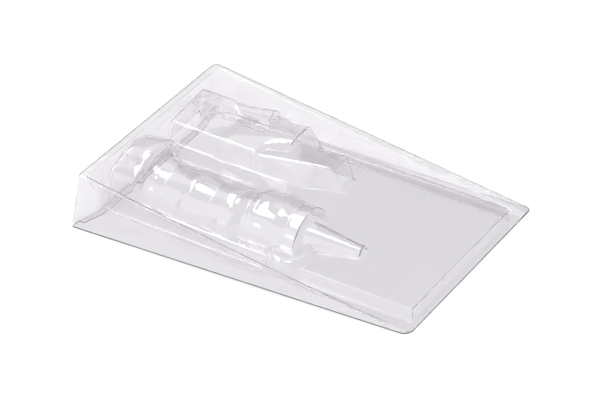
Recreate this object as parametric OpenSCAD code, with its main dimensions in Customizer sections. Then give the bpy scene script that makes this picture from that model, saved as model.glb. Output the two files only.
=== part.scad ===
// Clear thermoformed insert tray. One sheet, formed in one piece: a wedge-shaped
// skirt that is tall at one end and runs out flat at the other, a recess inside
// its ridge, a raised flat panel in the recess, and two product-shaped bulges
// that stand up from the panel. The underside is open.
// Frame: millimetres, +Z up, origin at the middle of the base, +X towards the
// low end, -Y towards the side with the nozzle-shaped bulge.

/* [Outline] */
// Length of the base, tall end to low end
base_l = 227.6; // [215:0.2:240]
// Width of the base at the tall end
base_w = 160.4; // [150:0.2:170]
// Height of the tall end
tall_h = 36.2; // [32:0.2:40]
// How far the skirt leans in from base to ridge at the tall end
lean = 4; // [3:0.1:5]
// Thickness of the formed sheet
sheet_t = 0.5; // [0.35:0.05:0.7]
// Height of the sheet's top face at the low end
low_h = 0.45; // [0.4:0.05:0.6]
// Height of the ridge above that face, where it runs out at the low end
ridge_end_h = 0.5; // [0.4:0.05:0.8]
// Length at the low end over which the ridge and the flange are solid
solid_end = 8; // [7.5:0.5:12]

/* [Corners] */
// Radius of the front corner at the tall end
r_front_tall = 1.6; // [1.5:0.1:2.5]
// Radius of the back corner at the tall end
r_back_tall = 4.6; // [3:0.1:6]
// Radius of the front corner at the low end
r_front_low = 6; // [4:0.1:8]
// Radius of the back corner at the low end
r_back_low = 3; // [2:0.1:5]
// Outer radius along the top of the ridge
r_ridge = 0.9; // [0.8:0.05:1.2]

/* [Recess] */
// Inside radius where the recess walls meet the floor
r_floor = 1.2; // [0.8:0.1:2]
// Slope of the recess floor and the panel, in degrees
tilt = 2.52; // [2:0.02:3]
// Recess wall foot, from the ridge line, on the tall side
foot_left = 7.2; // [6:0.1:8]
// Recess wall foot, from the front ridge line, at the tall end
foot_front = 8.4; // [7:0.1:10]
// Recess wall foot, from the back ridge line, at the tall end
foot_back = 13.2; // [11:0.1:15]

/* [Panel] */
// Height of the panel above the recess floor
panel_rise = 9.3; // [7:0.1:11]
// Panel edge, from the ridge line at the tall end
panel_left = 12; // [11:0.1:13]
// Panel edge, from the low end of the base
panel_right = 4.65; // [3:0.05:6]
// Panel edge, from the front ridge line
panel_front = 12.3; // [11:0.1:13]
// Panel edge, from the back ridge line
panel_back = 19.3; // [17:0.1:21]
// Corner radius of the panel
r_panel = 1.4; // [1:0.1:3]

/* [Front bulge] */
// Radius of the large shoulder at the tall end
shoulder_r = 26.4; // [25:0.1:27]
// Radius of the waist
waist_r = 19.5; // [18:0.1:20.5]
// Radius of the drum
drum_r = 21.3; // [20.8:0.1:22.5]
// Radius of the nozzle at its root
nozzle_root_r = 10.2; // [9:0.1:11]
// Radius of the nozzle at its tip
nozzle_tip_r = 4.4; // [4:0.1:5]
// Length of the nozzle
nozzle_l = 34.2; // [30:0.1:36]

/* [Back bulge] */
// Height of the body at its front edge
body_front_h = 13.2; // [11:0.1:15]
// Height of the body at its back edge
body_back_h = 17.4; // [15:0.1:18]
// Height of the long bar
bar_h = 14; // [12:0.1:15]
// Height of the short limb
limb_h = 15.6; // [14:0.1:17]
// Radius of the neck
neck_r = 8.4; // [7:0.1:9]

/* [Base lip] */
// Width of the lip turned in under the tall end
lip_w = 4; // [3:0.1:5]

/* [Hidden] */
$fn = 48;
xl = -base_l / 2;                 // base, tall end
xr = base_l / 2;                  // base, low end
xl_top = xl + lean;               // ridge line, tall end
yf = -(base_w / 2 - lean);        // ridge line, front
yb = base_w / 2 - lean;           // ridge line, back
slope = tan(tilt);
deep = -2;                        // the forms run on below the base and are cut off at 0
over = -deep * lean / tall_h;     // how far the leaning skirt spreads down there
function floor_z(x) = low_h + (xr - x) * slope;

// ---- helpers ------------------------------------------------------------
// A block with round upright corners, from its limits
module rblock(x0, x1, y0, y1, z0, z1, r) {
    translate([x0 + r, y0, z0]) cube([x1 - x0 - 2 * r, y1 - y0, z1 - z0]);
    translate([x0, y0 + r, z0]) cube([x1 - x0, y1 - y0 - 2 * r, z1 - z0]);
    for (x = [x0 + r, x1 - r], y = [y0 + r, y1 - r])
        translate([x, y, z0]) cylinder(r = r, h = z1 - z0);
}
// A bar along X from x0 to x1, tapering from r0 to r1
module rod(x0, x1, r0, r1) {
    translate([x0, 0, 0]) rotate([0, 90, 0]) cylinder(r1 = r0, r2 = r1, h = x1 - x0);
}
// A section drawn in Y and Z, run along X from x0 to x1
module section_x(x0, x1) {
    translate([x0, 0, 0]) rotate([90, 0, 90]) linear_extrude(x1 - x0) children();
}
// The frame of the panel's top face: X runs down the slope from the low end
module on_panel() {
    translate([xr, 0, low_h + panel_rise]) rotate([0, tilt, 0]) children();
}

// ---- the form that the sheet was drawn over, shrunk by t ------------------
module skirt_form(t) hull() {
    // front corner, tall end
    translate([xl - over + r_front_tall, -base_w / 2 - over + r_front_tall, deep])
        cylinder(r = r_front_tall - t, h = 0.01, $fn = 32);
    translate([xl_top + r_ridge, yf + r_ridge, tall_h - r_ridge])
        sphere(r = r_ridge - t, $fn = 24);
    // back corner, tall end
    translate([xl - over + r_back_tall, base_w / 2 + over - r_back_tall, deep])
        cylinder(r = r_back_tall - t, h = 0.01, $fn = 32);
    translate([xl_top + r_back_tall, yb - r_back_tall, tall_h - r_ridge])
        rotate_extrude($fn = 32) translate([r_back_tall - r_ridge, 0])
            circle(r = r_ridge - t, $fn = 16);
    // the two corners at the low end
    translate([xr - r_front_low, yf + r_front_low, deep])
        cylinder(r = r_front_low - t, h = low_h + ridge_end_h - t - deep, $fn = 32);
    translate([xr - r_back_low, yb - r_back_low, deep])
        cylinder(r = r_back_low - t, h = low_h + ridge_end_h - t - deep, $fn = 32);
}
// The recess inside the ridge, grown by t
module recess_form(t) hull() {
    r = r_floor;
    far = xr + 10;
    up = tall_h + 25;
    for (p = [
        // floor
        [xl_top + foot_left + r, yf + foot_front + r, floor_z(xl_top + foot_left + r) + r],
        [xl_top + foot_left + r, yb - foot_back - r, floor_z(xl_top + foot_left + r) + r],
        [far, yf + 6.3 + r, floor_z(far) + r],
        [far, yb - 10.8 - r, floor_z(far) + r],
        // the ridge's inner line, where it runs out at the low end
        [far, yf + 1.4 + r, floor_z(far) + r + 1],
        [far, yb - 6.6 - r, floor_z(far) + r + 1],
        // the ridge's inner line at the tall end
        [xl_top + 4.4 + r, yf + 2.7 + r, tall_h],
        [xl_top + 4.4 + r, yb - 3.2 - r, tall_h],
        // above everything
        [xl_top + 4.2 + r, yf + 2.6 + r, up],
        [xl_top + 4.2 + r, yb - 3.1 - r, up],
        [far, yf + 1.4 + r, up],
        [far, yb - 6.6 - r, up]
    ]) translate(p) sphere(r = r + t, $fn = 20);
}
module panel_form(t) on_panel()
    rblock(-(xr - xl_top - panel_left) + t, -panel_right - t,
           yf + panel_front + t, yb - panel_back - t, -45, -t, r_panel - t);

// Front bulge: shoulder, ringed waist, drum, nozzle and the foot under the drum
module front_form(t) on_panel() {
    ya = -36.7;
    hull() {
        translate([0, ya, 1.2]) rod(-210 + t, -192 - t, shoulder_r - t, shoulder_r - t);
        translate([0, ya, 1.2]) rod(-213 + t, -189 - t, shoulder_r - 4 - t, shoulder_r - 4 - t);
        for (x = [-208.5, -193.5]) translate([x, -58.6, 21.8]) sphere(r = 4.4 - t, $fn = 24);
        translate([-213 + t, -63 + t, -30]) cube([24 - 2 * t, 30, 0.1]);
    }
    translate([0, -43.6, 0]) {
        rod(-196, -125 - t, waist_r - t, waist_r - t);
        for (x = [-166.6, -153]) rod(x + t, x + 6.6 - t, waist_r + 1.2 - t, waist_r + 1.2 - t);
    }
    translate([0, -39.1, -1.2]) {
        rod(-127.6 + t, -93, drum_r - t, drum_r - t);
        rod(-93, -88.4 - t, drum_r - t, drum_r - 2.2 - t);
    }
    translate([-90, -35.6, 0]) rotate([0, 0, 5]) {
        rod(0, nozzle_l, nozzle_root_r - t, nozzle_tip_r - t);
        rod(nozzle_l - 0.1, nozzle_l + 1.4 - t, nozzle_tip_r + 0.4 - t, nozzle_tip_r + 0.4 - t);
    }
    rblock(-103.7 + t, -76.7 - t, -67.3 + t, -44.5, -45, -0.8 - t, 1.5 - t);
}
// Back bulge: sloping body, long bar, short limb and neck
module back_form(t) on_panel() {
    section_x(-214 + t, -163.6 - t) polygon([
        [7.8 + t, -45], [7.8 + t, body_front_h - 2.4], [10.2 + t, body_front_h - t],
        [41.4 - t, body_back_h - t], [45 - t, body_back_h - 3], [45 - t, -45]]);
    translate([0, 0, -45]) linear_extrude(45 + bar_h - t) polygon([
        [-185 + t, 6.6 + t], [-163.6, 6.6 + t], [-103 - t, 16.8 + t], [-98.6 - t, 19.4 + t],
        [-98.6 - t, 29.4 - t], [-103 - t, 31.2 - t], [-163.6, 33 - t], [-185 + t, 33 - t]]);
    rblock(-170, -138 - t, 20.4 + t, 46.2 - t, -45, limb_h - t, 2 - t);
    translate([0, 41.6, 12.6]) rod(-180 + t, -160.4 - t, neck_r - t, neck_r - t);
}
module whole_form(t) {
    difference() {
        skirt_form(t);
        recess_form(t);
        if (t > 0) translate([xr - solid_end, -200, -50]) cube([100, 400, 200]);
    }
    intersection() {
        union() { panel_form(t); front_form(t); back_form(t); }
        skirt_form_prism(t);
    }
}
// Keeps the panel and the bulges inside the sheet's outline
module skirt_form_prism(t)
    translate([xl_top + 1, yf + t, deep])
        cube([xr - xl_top - 1 - t, yb - yf - 2 * t, 120]);

// ---- the sheet ------------------------------------------------------------
module tray() color([0.90, 0.89, 0.93, 0.35]) {
    intersection() {
        difference() { whole_form(0); whole_form(sheet_t); }
        translate([-200, -200, 0]) cube([400, 400, 200]);
    }
    // the lip turned in under the tall end
    translate([xl + 0.15, -base_w / 2 + r_front_tall, 0])
        cube([lip_w, base_w - r_front_tall - r_back_tall, sheet_t]);
}

tray();
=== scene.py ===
import math

import bpy
import bmesh
import numpy as np
from mathutils import Matrix, Vector


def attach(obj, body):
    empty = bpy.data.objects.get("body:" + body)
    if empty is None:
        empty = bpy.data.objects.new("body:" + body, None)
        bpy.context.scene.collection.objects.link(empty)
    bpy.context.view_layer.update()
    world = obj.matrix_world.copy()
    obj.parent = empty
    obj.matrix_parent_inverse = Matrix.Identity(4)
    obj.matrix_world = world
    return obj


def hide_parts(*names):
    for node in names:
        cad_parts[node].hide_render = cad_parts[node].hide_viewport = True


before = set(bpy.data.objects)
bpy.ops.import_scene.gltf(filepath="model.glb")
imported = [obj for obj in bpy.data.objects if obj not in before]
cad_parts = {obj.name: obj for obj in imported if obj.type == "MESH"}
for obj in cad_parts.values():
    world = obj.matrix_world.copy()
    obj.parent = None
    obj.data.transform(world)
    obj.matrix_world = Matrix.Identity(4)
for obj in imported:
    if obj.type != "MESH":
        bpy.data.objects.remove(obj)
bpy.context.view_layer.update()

scene = bpy.context.scene

# ---------------------------------------------------------------------------
# The sheet's form. All lengths here are millimetres in the part's own frame;
# the mesh is scaled to metres at the end.
# ---------------------------------------------------------------------------
XL, XR = -113.8, 113.8          # base, tall end and low end
BH, LEAN = 80.2, 4.0            # half width of the base at the tall end; lean of the skirt
TALL, LOW = 36.2, 0.45          # ridge height at the tall end; sheet top at the low end
XT, YF, YB = XL + LEAN, -(BH - LEAN), BH - LEAN
TH = math.radians(2.52)         # slope of the recess floor and the panel
ST, CT, TT = math.sin(TH), math.cos(TH), math.tan(TH)
RISE = 9.3                      # panel above the floor
SHEET = 0.5                     # sheet thickness


def join(a, b, r):
    """Union of two distances with an inside fillet of radius r."""
    u = np.maximum(r - a, 0.0)
    v = np.maximum(r - b, 0.0)
    return np.maximum(r, np.minimum(a, b)) - np.sqrt(u * u + v * v)


def meet(a, b, r):
    """Intersection of two distances with an outside round of radius r."""
    u = np.maximum(r + a, 0.0)
    v = np.maximum(r + b, 0.0)
    return np.minimum(-r, np.maximum(a, b)) + np.sqrt(u * u + v * v)


def step(a, b, x):
    t = np.clip((x - a) / (b - a), 0.0, 1.0)
    return t * t * (3.0 - 2.0 * t)


def block(x, y, z, x0, x1, y0, y1, z1, rv, rt, draft=0.0):
    """A block open below: upright corners of radius rv, top edge of radius rt."""
    g = draft * (z1 - z)
    dx0, dx1, dy0, dy1 = x0 - g - x, x - x1 - g, y0 - g - y, y - y1 - g
    side = np.maximum(
        np.maximum(meet(dx0, dy0, rv), meet(dx0, dy1, rv)),
        np.maximum(meet(dx1, dy0, rv), meet(dx1, dy1, rv)),
    )
    return meet(side, z - z1, rt)


def barrel(x, y, z, x0, x1, yc, zc, ra, rb, r0, r1):
    """A round bar along x, radius ra at x0 and rb at x1, its ends rounded by r0 and r1."""
    k = (rb - ra) / (x1 - x0)
    rad = (np.sqrt((y - yc) ** 2 + (z - zc) ** 2) - (ra + k * (x - x0))) / math.sqrt(1 + k * k)
    return meet(meet(rad, x0 - x, r0), x - x1, r1)


def table(points, smooth):
    """A function through the points, straight between them, its corners smoothed over that length."""
    px, py = zip(*points)
    t = np.arange(px[0] - 20.0, px[-1] + 20.0, 0.1)
    v = np.interp(t, px, py)
    n = max(3, int(smooth / 0.1)) | 1
    win = np.hanning(n + 2)[1:-1]
    v = np.convolve(np.pad(v, n // 2, mode="edge"), win / win.sum(), mode="valid")
    return lambda x: np.interp(x, t, v)


DOME = table([(-214, 19.5), (-213, 21.2), (-210, 23.8), (-206, 25.1), (-202, 25.7), (-198, 26.15), (-195, 26.3),
              (-193.6, 26.0), (-192.4, 24.6), (-191.9, 22.6)], 1.8)
RADIUS = table([(-200, 24.0), (-193, 23.2), (-189.5, 21.0), (-186, 19.9), (-179, 18.3),
                (-168, 19.4), (-163, 20.5), (-160.5, 20.7), (-158, 20.4), (-153, 19.3), (-147, 18.2), (-142, 19.2),
                (-137, 20.2), (-133, 20.4), (-129, 20.2), (-125, 19.1), (-122, 21.2), (-120, 21.95),
                (-112, 22.1), (-104.6, 21.9), (-101.5, 21.1), (-97.6, 19.8), (-96.2, 20.2), (-88, 20.6)], 2.2)
AXIS_Y = table([(-200, -37.4), (-194, -38.2), (-184, -41.3), (-130, -41.5), (-122, -37.0), (-117, -36.2), (-88, -36.0)], 5.0)
AXIS_W = table([(-200, 0.6), (-194, 0.4), (-186, 0.0), (-130, 0.0), (-122, -1.9), (-88, -2.1)], 5.0)
BAR_FOOT = table([(-200, 7.4), (-163, 7.0), (-145, 5.6), (-131, 6.0), (-118, 7.5), (-104.5, 13.7), (-97, 15.4), (-90, 17.0)], 8.0)
BAR_EDGE = table([(-200, 7.0), (-163, 6.4), (-154.8, 6.5), (-140, 9.4), (-123.6, 11.2), (-104.6, 13.6), (-100, 15.5), (-95, 20.0)], 5.0)


def sag_in(y):
    """How far the foot of the tall end bows in."""
    return 4.4 * step(-76.0, -56.0, y) * (1.0 - step(52.0, 76.0, y))


def skirt(x, y, z):
    """Distance to the skirt's outside."""
    sag = sag_in(y) * np.clip(1.0 - z / TALL, 0.0, 1.2) ** 1.2
    d_left = (XL + LEAN * z / TALL + sag - x) * 0.9939
    ys = -78.2 + 0.017575 * x + 0.108557 * z
    d_front = (ys - y) * 0.994
    d_back = (y + ys) * 0.994
    d_right = x - XR
    return np.maximum(
        np.maximum(meet(d_left, d_front, 1.4), meet(d_left, d_back, 4.6)),
        np.maximum(meet(d_right, d_front, 6.0), meet(d_right, d_back, 3.0)),
    )


def form(x, y, z):
    """Signed distance, about, to the face that the sheet was drawn over; negative inside."""
    # the front ridge bows out a little half way along
    along = np.clip((x - XT) / (XR - XT), 0.0, 1.0)
    ztop = LOW + 0.5 + 0.15765 * (XR - x)
    zflo = LOW + (XR - x) * TT
    high = np.clip(z / np.maximum(ztop, 4.0), 0.0, 1.0)
    bow = 4.0 * along * (1.0 - along)
    y = y + 2.0 * bow * high * (1.0 - step(-66.0, -57.0, y))
    side = skirt(x, y, z)
    d_top = (z - ztop) * 0.9878
    # the recess walls, twisted from their foot to their crest
    rise = np.maximum(ztop - zflo, 0.35)
    s = (z - zflo) / rise
    xp = x - XT
    foot = YF + 6.3 + 2.1 * (1.0 - step(20.0, 100.0, xp)) + 3.6 * np.exp(-np.maximum(xp - 7.2, 0.0) / 7.0)
    crest = YF + 2.0
    k = (foot - crest) / rise
    wall_f = (y - (foot + (crest - foot) * s)) / np.sqrt(1.0 + k * k)
    bfoot = YB - 13.2 + 2.4 * along
    bcrest = YB - 3.2 - 5.0 * np.clip(xp / 190.0, 0.0, 1.0)
    k = (bcrest - bfoot) / rise
    wall_b = ((bfoot + (bcrest - bfoot) * s) - y) / np.sqrt(1.0 + k * k)
    wall_l = (x - (XT + 7.2 - 2.7 * s)) * 0.995
    walls = join(join(wall_f, wall_l, 1.5), wall_b, 1.5)
    ridges = meet(d_top, walls, np.clip(0.45 * rise, 0.15, 0.7))
    body = join((z - zflo) * CT, ridges, np.clip(0.5 * rise, 0.2, 1.2))
    # the panel's own frame: u runs down the slope from the low end, w is height above the panel
    zz = z - (LOW + RISE)
    xx = x - XR
    u = xx * CT - zz * ST
    w = xx * ST + zz * CT
    panel = block(u, y, w, -211.6, -4.65, YF + 12.3, YB - 19.3, 0.0, 1.6, 1.3, 0.02)
    body = join(body, panel, 1.7)
    # front bulge: shoulder, waved waist, barrel-shaped drum, nozzle and the foot under the drum
    dome = (np.sqrt((y + 36.7) ** 2 + (w - 0.8) ** 2) - DOME(u)) * 0.94
    dome = meet(dome, np.abs(u + 202.8) - 10.8, 1.5)
    low = meet(meet(meet(-63.1 - y, y + 34.0, 3.0), w - 17.5, 8.0), meet(-213.4 - u, u + 192.0, 1.0), 4.0)
    sh = join(dome, low, 5.0)
    yc, wc = AXIS_Y(u), AXIS_W(u)
    rev = (np.sqrt((y - yc) ** 2 + (w - wc) ** 2) - RADIUS(u)) * 0.985
    rev = meet(meet(rev, -200.0 - u, 2.0), u + 88.9, 0.8)
    front = join(sh, rev, 1.0)
    c5, s5 = math.cos(math.radians(5.0)), math.sin(math.radians(5.0))
    un = (u + 90.0) * c5 + (y + 35.6) * s5
    yn = -(u + 90.0) * s5 + (y + 35.6) * c5
    nz = barrel(un, yn, w, -4.0, 34.2, 0.0, 0.0, 10.9, 4.4, 0.5, 0.6)
    nz = join(nz, barrel(un, yn, w, 33.2, 35.4, 0.0, 0.0, 4.9, 4.9, 0.4, 0.5), 0.4)
    front = join(front, nz, 0.8)
    foot_b = meet(np.sqrt((u + 90.3) ** 2 + (y + 54.5) ** 2) - 14.4 + 0.10 * w, w - 3.2, 5.0)
    front = join(front, foot_b, 0.9)
    # back bulge: body, saddle, limb that rises to its end, neck, and the long bar before them
    dip = 2.6 * step(-196.0, -174.0, u) * step(6.0, 28.0, y)
    tilt_w = w - (13.2 + (y - 7.8) * 0.113 - dip)
    bo = block(u, y, tilt_w * 0.98, -214.0, -152.0, 7.8, 45.0, 0.0, 2.5, 1.3, 0.15)
    y_lo, y_hi = BAR_FOOT(u), BAR_EDGE(u)
    b_top = 11.4 + 0.075 * (u + 154.0)
    bf = (y_lo + (y_hi - y_lo) * w / 12.5 - y) * 0.97
    bar = meet(bf, -160.0 - u, 6.0)
    bar = meet(bar, y - (33.0 - 0.03 * (u + 163.6)), 1.5)
    bar = meet(bar, (u + 96.0 + 0.43 * w) * 0.918, 0.9)
    bar = meet(bar, w - b_top - (y - 8.0) * 0.03, 1.9)
    l_top = (w - 15.3 - 0.125 * (np.maximum(u, -176.0) + 158.9)) * 0.99
    li = meet((10.6 + 0.302 * (u + 158.9) - y) * 0.957, l_top, 11.0)
    li = meet(li, 0.823 * (y - 45.5) + 0.568 * (w - 16.0), 3.0)
    li = meet(li, u + 136.6, 0.8)
    li = meet(li, -178.0 - u, 6.0)
    ne = barrel(u, y, w, -200.0, -160.6, 41.8, 12.0, 2.8, 8.5, 1.0, 0.9)
    back = join(join(join(bo, li, 5.0), bar, 1.2), ne, 0.8)
    body = join(join(body, front, 1.2), back, 1.2)
    return meet(side, body, np.clip(0.5 * ztop, 0.3, 0.9))


def gradient(p, e=0.02):
    g = np.empty_like(p)
    for i in range(3):
        d = np.zeros(3)
        d[i] = e
        a, b = p + d, p - d
        g[:, i] = (form(a[:, 0], a[:, 1], a[:, 2]) - form(b[:, 0], b[:, 1], b[:, 2])) / (2 * e)
    return g


def settle(p, rounds=3):
    """Moves points onto the form's face."""
    for _ in range(rounds):
        f = form(p[:, 0], p[:, 1], p[:, 2])
        g = gradient(p)
        n2 = np.maximum((g * g).sum(1), 0.05)
        m = np.clip(-f / n2, -0.4, 0.4)[:, None] * g
        p = p + m
    return p


def unit(v):
    return v / np.maximum(np.linalg.norm(v, axis=1), 1e-9)[:, None]


def net(h):
    """Quads over the form's face, one point in each cell that it crosses."""
    gx = np.arange(XL - 3 * h, XR + 3.6 * h, h)
    gy = np.arange(-BH - 2 * h, BH + 3 * h, h)
    gz = np.arange(-4.0 - 0.37 * h, 48.0 + h, h)
    nx, ny, nz = len(gx), len(gy), len(gz)
    val = np.empty((nx, ny, nz), np.float32)
    y3, z3 = gy[None, :, None], gz[None, None, :]
    for i in range(0, nx, 16):
        x3 = gx[i:i + 16, None, None]
        val[i:i + 16] = form(x3, y3, z3)
    inside = val < 0
    c = [inside[a:nx - 1 + a, b:ny - 1 + b, d:nz - 1 + d] for a in (0, 1) for b in (0, 1) for d in (0, 1)]
    some, every = c[0].copy(), c[0].copy()
    for q in c[1:]:
        some |= q
        every &= q
    cells = np.argwhere(some & ~every)
    number = np.full((nx - 1, ny - 1, nz - 1), -1, np.int32)
    number[cells[:, 0], cells[:, 1], cells[:, 2]] = np.arange(len(cells))
    total = np.zeros((len(cells), 3))
    count = np.zeros(len(cells))
    corners = [(0, 0, 0), (1, 0, 0), (0, 1, 0), (1, 1, 0), (0, 0, 1), (1, 0, 1), (0, 1, 1), (1, 1, 1)]
    for p in range(8):
        for axis in range(3):
            a = corners[p]
            if a[axis]:
                continue
            b = list(a)
            b[axis] = 1
            va = val[cells[:, 0] + a[0], cells[:, 1] + a[1], cells[:, 2] + a[2]]
            vb = val[cells[:, 0] + b[0], cells[:, 1] + b[1], cells[:, 2] + b[2]]
            hit = (va < 0) != (vb < 0)
            t = np.where(hit, va / np.where(hit, va - vb, 1.0), 0.0)
            q = np.array(a, float)[None, :] + t[:, None] * (np.array(b, float) - np.array(a, float))[None, :]
            total += np.where(hit[:, None], q, 0.0)
            count += hit
    pts = (cells + total / count[:, None]) * h + np.array([gx[0], gy[0], gz[0]])
    quads = []
    for axis in range(3):
        lo = [slice(0, None)] * 3
        hi = [slice(0, None)] * 3
        lo[axis], hi[axis] = slice(0, -1), slice(1, None)
        a, b = inside[tuple(lo)], inside[tuple(hi)]
        e = np.argwhere(a != b)
        o1, o2 = [(1, 2), (2, 0), (0, 1)][axis]
        keep = (e[:, o1] > 0) & (e[:, o2] > 0) & (e[:, o1] < (nx, ny, nz)[o1] - 1) & (e[:, o2] < (nx, ny, nz)[o2] - 1)
        e = e[keep]
        flip = b[e[:, 0], e[:, 1], e[:, 2]]
        ring = []
        for s1, s2 in ((-1, -1), (0, -1), (0, 0), (-1, 0)):
            q = e.copy()
            q[:, o1] += s1
            q[:, o2] += s2
            ring.append(number[q[:, 0], q[:, 1], q[:, 2]])
        ring = np.stack(ring, 1)
        ring[flip] = ring[flip][:, ::-1]
        quads.append(ring)
    return pts, np.concatenate(quads)


def make_sheet():
    pts, quads = net(0.6)
    pts = settle(pts, 2)
    me = bpy.data.meshes.new("form")
    me.from_pydata(pts.tolist(), [], quads.tolist())
    me.update()
    ob = bpy.data.objects.new("form", me)
    scene.collection.objects.link(ob)
    # fewer faces where the sheet is flat
    mod = ob.modifiers.new("thin_out", "DECIMATE")
    mod.ratio = min(1.0, 94000 / max(1, 2 * len(quads)))
    dg = bpy.context.evaluated_depsgraph_get()
    small = bpy.data.meshes.new_from_object(ob.evaluated_get(dg))
    bpy.data.objects.remove(ob)
    bm = bmesh.new()
    bm.from_mesh(small)
    bpy.data.meshes.remove(small)
    # trim along the base
    geom = bm.verts[:] + bm.edges[:] + bm.faces[:]
    bmesh.ops.bisect_plane(bm, geom=geom, dist=1e-5, plane_co=(0, 0, 0), plane_no=(0, 0, 1), clear_inner=True)
    geom = bm.verts[:] + bm.edges[:] + bm.faces[:]
    bmesh.ops.bisect_plane(bm, geom=geom, dist=1e-5, plane_co=(0, 0, SHEET), plane_no=(0, 0, 1))
    bmesh.ops.triangulate(bm, faces=bm.faces[:])
    bmesh.ops.dissolve_degenerate(bm, dist=1e-4, edges=bm.edges[:])
    bmesh.ops.triangulate(bm, faces=bm.faces[:])
    bm.verts.ensure_lookup_table()
    bm.verts.index_update()
    p = np.array([v.co for v in bm.verts], float)
    rim = np.array([v.is_boundary for v in bm.verts])
    p[~rim] = settle(p[~rim], 2)
    p[:, 2] = np.maximum(p[:, 2], 0.0)
    for _ in range(4):
        q = p[rim]
        q[:, 2] = 0.0
        g = gradient(q)
        g[:, 2] = 0.0
        f = form(q[:, 0], q[:, 1], q[:, 2])
        p[rim] = q - np.clip(f / np.maximum((g * g).sum(1), 0.05), -0.4, 0.4)[:, None] * g
    n = unit(gradient(p, 0.05))
    # the inner face: the same points, moved in by the sheet's thickness
    flat = n.copy()
    flat[rim, 2] = 0.0
    flat[rim] = unit(flat[rim])
    inner = p - SHEET * flat
    inner[:, 2] = np.maximum(inner[:, 2], 0.0)
    inner[rim, 2] = 0.0
    tris = [[v.index for v in f.verts] for f in bm.faces]
    edges = [(e.verts[0].index, e.verts[1].index) for e in bm.edges if e.is_boundary]
    # the way round of each rim edge, from the face it belongs to
    way = {}
    for f in bm.faces:
        vs = [v.index for v in f.verts]
        for i in range(len(vs)):
            way[(vs[i], vs[(i + 1) % len(vs)])] = True
    bm.free()
    count = len(p)
    faces = list(tris)
    faces += [[a + count for a in reversed(t)] for t in tris]
    mid = p[np.array(tris)].mean(1)
    facing = n[np.array(tris)].mean(1)
    # painted shade: the foot of the skirt, on both faces, takes the dark edge glass wherever it does not face the
    # back, to paint the dark line that bending light draws along the foot
    painted_foot_shade = (mid[:, 2] < SHEET) & (skirt(mid[:, 0], mid[:, 1], mid[:, 2]) > -0.18) & (facing[:, 1] < 0.6)
    kinds = [1 if k else 0 for k in painted_foot_shade] * 2
    # the cut edge between the two faces also takes the dark edge glass: painted shade
    for a, b in edges:
        if not way.get((a, b)):
            a, b = b, a
        faces.append([b, a, a + count, b + count])
        kinds.append(1)
    co = np.concatenate([p, inner])
    normals = np.concatenate([n, -n])
    # the lip turned in under the tall end: four sides and two ends, each with its own corners
    ly = np.linspace(-73.0, 71.0, 49)
    lx = XL + sag_in(ly) + SHEET + 0.08
    rows = {"a": (0.0, 0.0), "b": (4.0, 0.0), "c": (4.0, SHEET), "d": (0.0, SHEET)}
    for first, second, way_out, kind in (("a", "b", (0, 0, -1), 2), ("b", "c", (1, 0, 0), 2),
                                         ("c", "d", (0, 0, 1), 2), ("d", "a", (-1, 0, 0), 2)):
        start = len(co)
        for name in (first, second):
            dx, dz = rows[name]
            co = np.concatenate([co, np.stack([lx + dx, ly, np.full(len(ly), dz)], 1)])
        normals = np.concatenate([normals, np.tile(np.array(way_out, float), (2 * len(ly), 1))])
        for i in range(len(ly) - 1):
            faces.append([start + i + 1, start + len(ly) + i + 1, start + len(ly) + i, start + i])
            kinds.append(kind)
    # the lip's two ends take the dark edge glass too: painted shade
    for i, out_y in ((0, -1.0), (len(ly) - 1, 1.0)):
        start = len(co)
        co = np.concatenate([co, np.array([[lx[i] + dx, ly[i], dz] for dx, dz in rows.values()])])
        normals = np.concatenate([normals, np.tile(np.array([0.0, out_y, 0.0]), (4, 1))])
        ring = [start, start + 1, start + 2, start + 3]
        faces.append(ring if out_y < 0 else ring[::-1])
        kinds.append(1)
    me = bpy.data.meshes.new("tray_sheet")
    me.from_pydata((co * 0.001).tolist(), [], faces)
    me.polygons.foreach_set("material_index", kinds)
    me.polygons.foreach_set("use_smooth", [k == 0 for k in kinds])
    me.update()
    # long faces that only touch a bend keep their own direction there
    corner = np.array([i for f in faces for i in f])
    size = np.array([len(f) for f in faces])
    own = np.repeat(np.array([tuple(f.normal) for f in me.polygons]), size, axis=0)
    area = np.repeat(np.array([f.area for f in me.polygons]) * 1e6, size)
    soft = unit(normals[corner])
    turned = (soft * own).sum(1)
    stiff = (turned < 0.990) & (area > 0.9)
    soft[stiff] = own[stiff]
    me.normals_split_custom_set(soft.tolist())
    ob = bpy.data.objects.new("tray_sheet", me)
    scene.collection.objects.link(ob)
    print("tray_sheet triangles", sum(len(f) - 2 for f in faces))
    return ob


sheet = make_sheet()


# ---------------------------------------------------------------------------
# Materials
# ---------------------------------------------------------------------------
def socket(node, name, value):
    node.inputs[name].default_value = value


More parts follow.
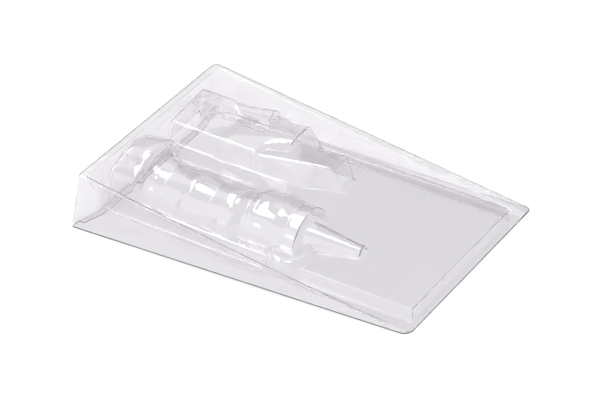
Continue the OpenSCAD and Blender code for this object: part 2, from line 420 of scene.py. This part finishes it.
def clear_plastic(name, tint, shade, rough):
    """Clear sheet: bends and mirrors light as plastic does. Shadow rays pass straight through, dimmed."""
    mat = bpy.data.materials.new(name)
    mat.use_nodes = True
    nt = mat.node_tree
    nt.nodes.clear()
    out = nt.nodes.new("ShaderNodeOutputMaterial")
    glass = nt.nodes.new("ShaderNodeBsdfGlass")
    socket(glass, "Color", (*tint, 1))
    socket(glass, "Roughness", rough)
    socket(glass, "IOR", 1.5)
    # the faint ripple that forming leaves in the sheet
    where = nt.nodes.new("ShaderNodeTexCoord")
    ripple = nt.nodes.new("ShaderNodeTexNoise")
    socket(ripple, "Scale", 110.0)
    socket(ripple, "Detail", 2.0)
    socket(ripple, "Roughness", 0.45)
    bump = nt.nodes.new("ShaderNodeBump")
    socket(bump, "Strength", 1.0)
    socket(bump, "Distance", 0.00010)
    nt.links.new(where.outputs["Object"], ripple.inputs["Vector"])
    nt.links.new(ripple.outputs[0], bump.inputs["Height"])
    nt.links.new(bump.outputs["Normal"], glass.inputs["Normal"])
    through = nt.nodes.new("ShaderNodeBsdfTransparent")
    socket(through, "Color", (*shade, 1))
    path = nt.nodes.new("ShaderNodeLightPath")
    m = nt.nodes.new("ShaderNodeMixShader")
    either = nt.nodes.new("ShaderNodeMath")
    either.operation = "MAXIMUM"
    nt.links.new(path.outputs["Is Shadow Ray"], either.inputs[0])
    nt.links.new(path.outputs["Is Diffuse Ray"], either.inputs[1])
    nt.links.new(either.outputs[0], m.inputs["Fac"])
    nt.links.new(glass.outputs[0], m.inputs[1])
    nt.links.new(through.outputs[0], m.inputs[2])
    nt.links.new(m.outputs[0], out.inputs["Surface"])
    return mat


clear = clear_plastic("clear_sheet", (0.985, 0.981, 0.986), (0.874, 0.865, 0.879), 0.03)
# dark edge glass for the sheet's cut edge and the foot of the skirt: painted shade for the dark line that bending
# light draws there
edge = clear_plastic("cut_edge_painted_shade", (0.42, 0.42, 0.44), (0.7, 0.7, 0.7), 0.3)
sheet.data.materials.append(clear)
sheet.data.materials.append(edge)
# a clearer copy of the same sheet for the lip, painted light: its doubled layers show and cast less shade than the
# real sheet would
sheet.data.materials.append(clear_plastic("clear_lip", (0.992, 0.989, 0.993), (0.975, 0.97, 0.977), 0.03))
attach(sheet, "root")
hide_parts("tray")

# ---------------------------------------------------------------------------
# Ground, light and camera
# ---------------------------------------------------------------------------
bpy.ops.mesh.primitive_plane_add(size=12.0, location=(0, 0, -0.0003))
ground = bpy.context.object
ground.name = "ground"
gm = bpy.data.materials.new("ground")
gm.use_nodes = True
gp = gm.node_tree.nodes["Principled BSDF"]
socket(gp, "Base Color", (0.93, 0.93, 0.93, 1))
socket(gp, "Roughness", 0.9)
socket(gp, "Specular IOR Level", 0.1)
ground.data.materials.append(gm)

world = bpy.data.worlds.new("studio")
scene.world = world
world.use_nodes = True
world.node_tree.nodes["Background"].inputs["Color"].default_value = (0.985, 0.975, 1.0, 1)
world.node_tree.nodes["Background"].inputs["Strength"].default_value = 0.30
world.cycles_visibility.diffuse = False


def softbox(name, direction, size, radiance, distance=1.6, glossy=True):
    d = Vector(direction).normalized()
    light = bpy.data.lights.new(name, "AREA")
    light.shape = "RECTANGLE"
    light.size, light.size_y = size
    light.energy = radiance * math.pi * size[0] * size[1]
    ob = bpy.data.objects.new(name, light)
    scene.collection.objects.link(ob)
    z = d
    xa = Vector((0, 0, 1)).cross(z)
    xa = Vector((1, 0, 0)) if xa.length < 1e-3 else xa.normalized()
    ya = z.cross(xa)
    m = Matrix((xa, ya, z)).transposed().to_4x4()
    m.translation = d * distance
    ob.matrix_world = m
    ob.visible_glossy = glossy
    ob.visible_diffuse = False
    return ob


softbox("overhead", (-0.43, -0.09, 0.90), (1.3, 0.34), 7.0)
softbox("front_left", (-0.42, -0.80, 0.42), (0.36, 0.26), 3.0, 2.0)
softbox("room_front", (-0.30, -0.85, 0.40), (3.6, 2.4), 1.15, 2.6)
softbox("room_top", (-0.40, 0.36, 0.84), (2.4, 1.05), 0.95, 2.2)
softbox("room_left", (-0.93, 0.04, 0.36), (1.4, 1.0), 2.0, 2.0)


def base_light(name, energy, angle, rotation):
    """Lights the ground only; the softboxes above do not."""
    light = bpy.data.lights.new(name, "SUN")
    light.energy = energy
    light.angle = math.radians(angle)
    ob = bpy.data.objects.new(name, light)
    scene.collection.objects.link(ob)
    ob.rotation_euler = rotation
    ob.visible_glossy = False


base_light("base_light", 2.75, 24.0, (0, 0, 0))
base_light("low_base_light", 1.45, 8.0, (math.radians(57.0), 0, math.radians(30.8)))

# camera: fitted to the photograph's outline
AZ, EL, ROLL = math.radians(30.768), math.radians(32.968), math.radians(-0.106)
FOCAL, CX, CY = 3000.42, 6.788, -17.259      # in 0.6 mm steps
right = Vector((math.cos(AZ), math.sin(AZ), 0))
look = Vector((-math.sin(AZ) * math.cos(EL), math.cos(AZ) * math.cos(EL), -math.sin(EL)))
up = right.cross(look)
r2 = right * math.cos(ROLL) + up * math.sin(ROLL)
u2 = -right * math.sin(ROLL) + up * math.cos(ROLL)
centre = Vector((372.75 / 2 - 183.075, 254.25 / 2 - 127.2, 0))
where = (centre - r2 * CX - u2 * CY - look * FOCAL) * 0.0006
cam = bpy.data.cameras.new("camera")
cam.lens = FOCAL / 600 * 36
cam.sensor_width = 36
cam.clip_start, cam.clip_end = 0.05, 30
cam_ob = bpy.data.objects.new("camera", cam)
scene.collection.objects.link(cam_ob)
m = Matrix((r2, u2, -look)).transposed().to_4x4()
m.translation = where
cam_ob.matrix_world = m
scene.camera = cam_ob

scene.view_settings.view_transform = "Standard"
scene.cycles.max_bounces = 32
scene.cycles.transmission_bounces = 32
scene.cycles.transparent_max_bounces = 48
scene.cycles.glossy_bounces = 6
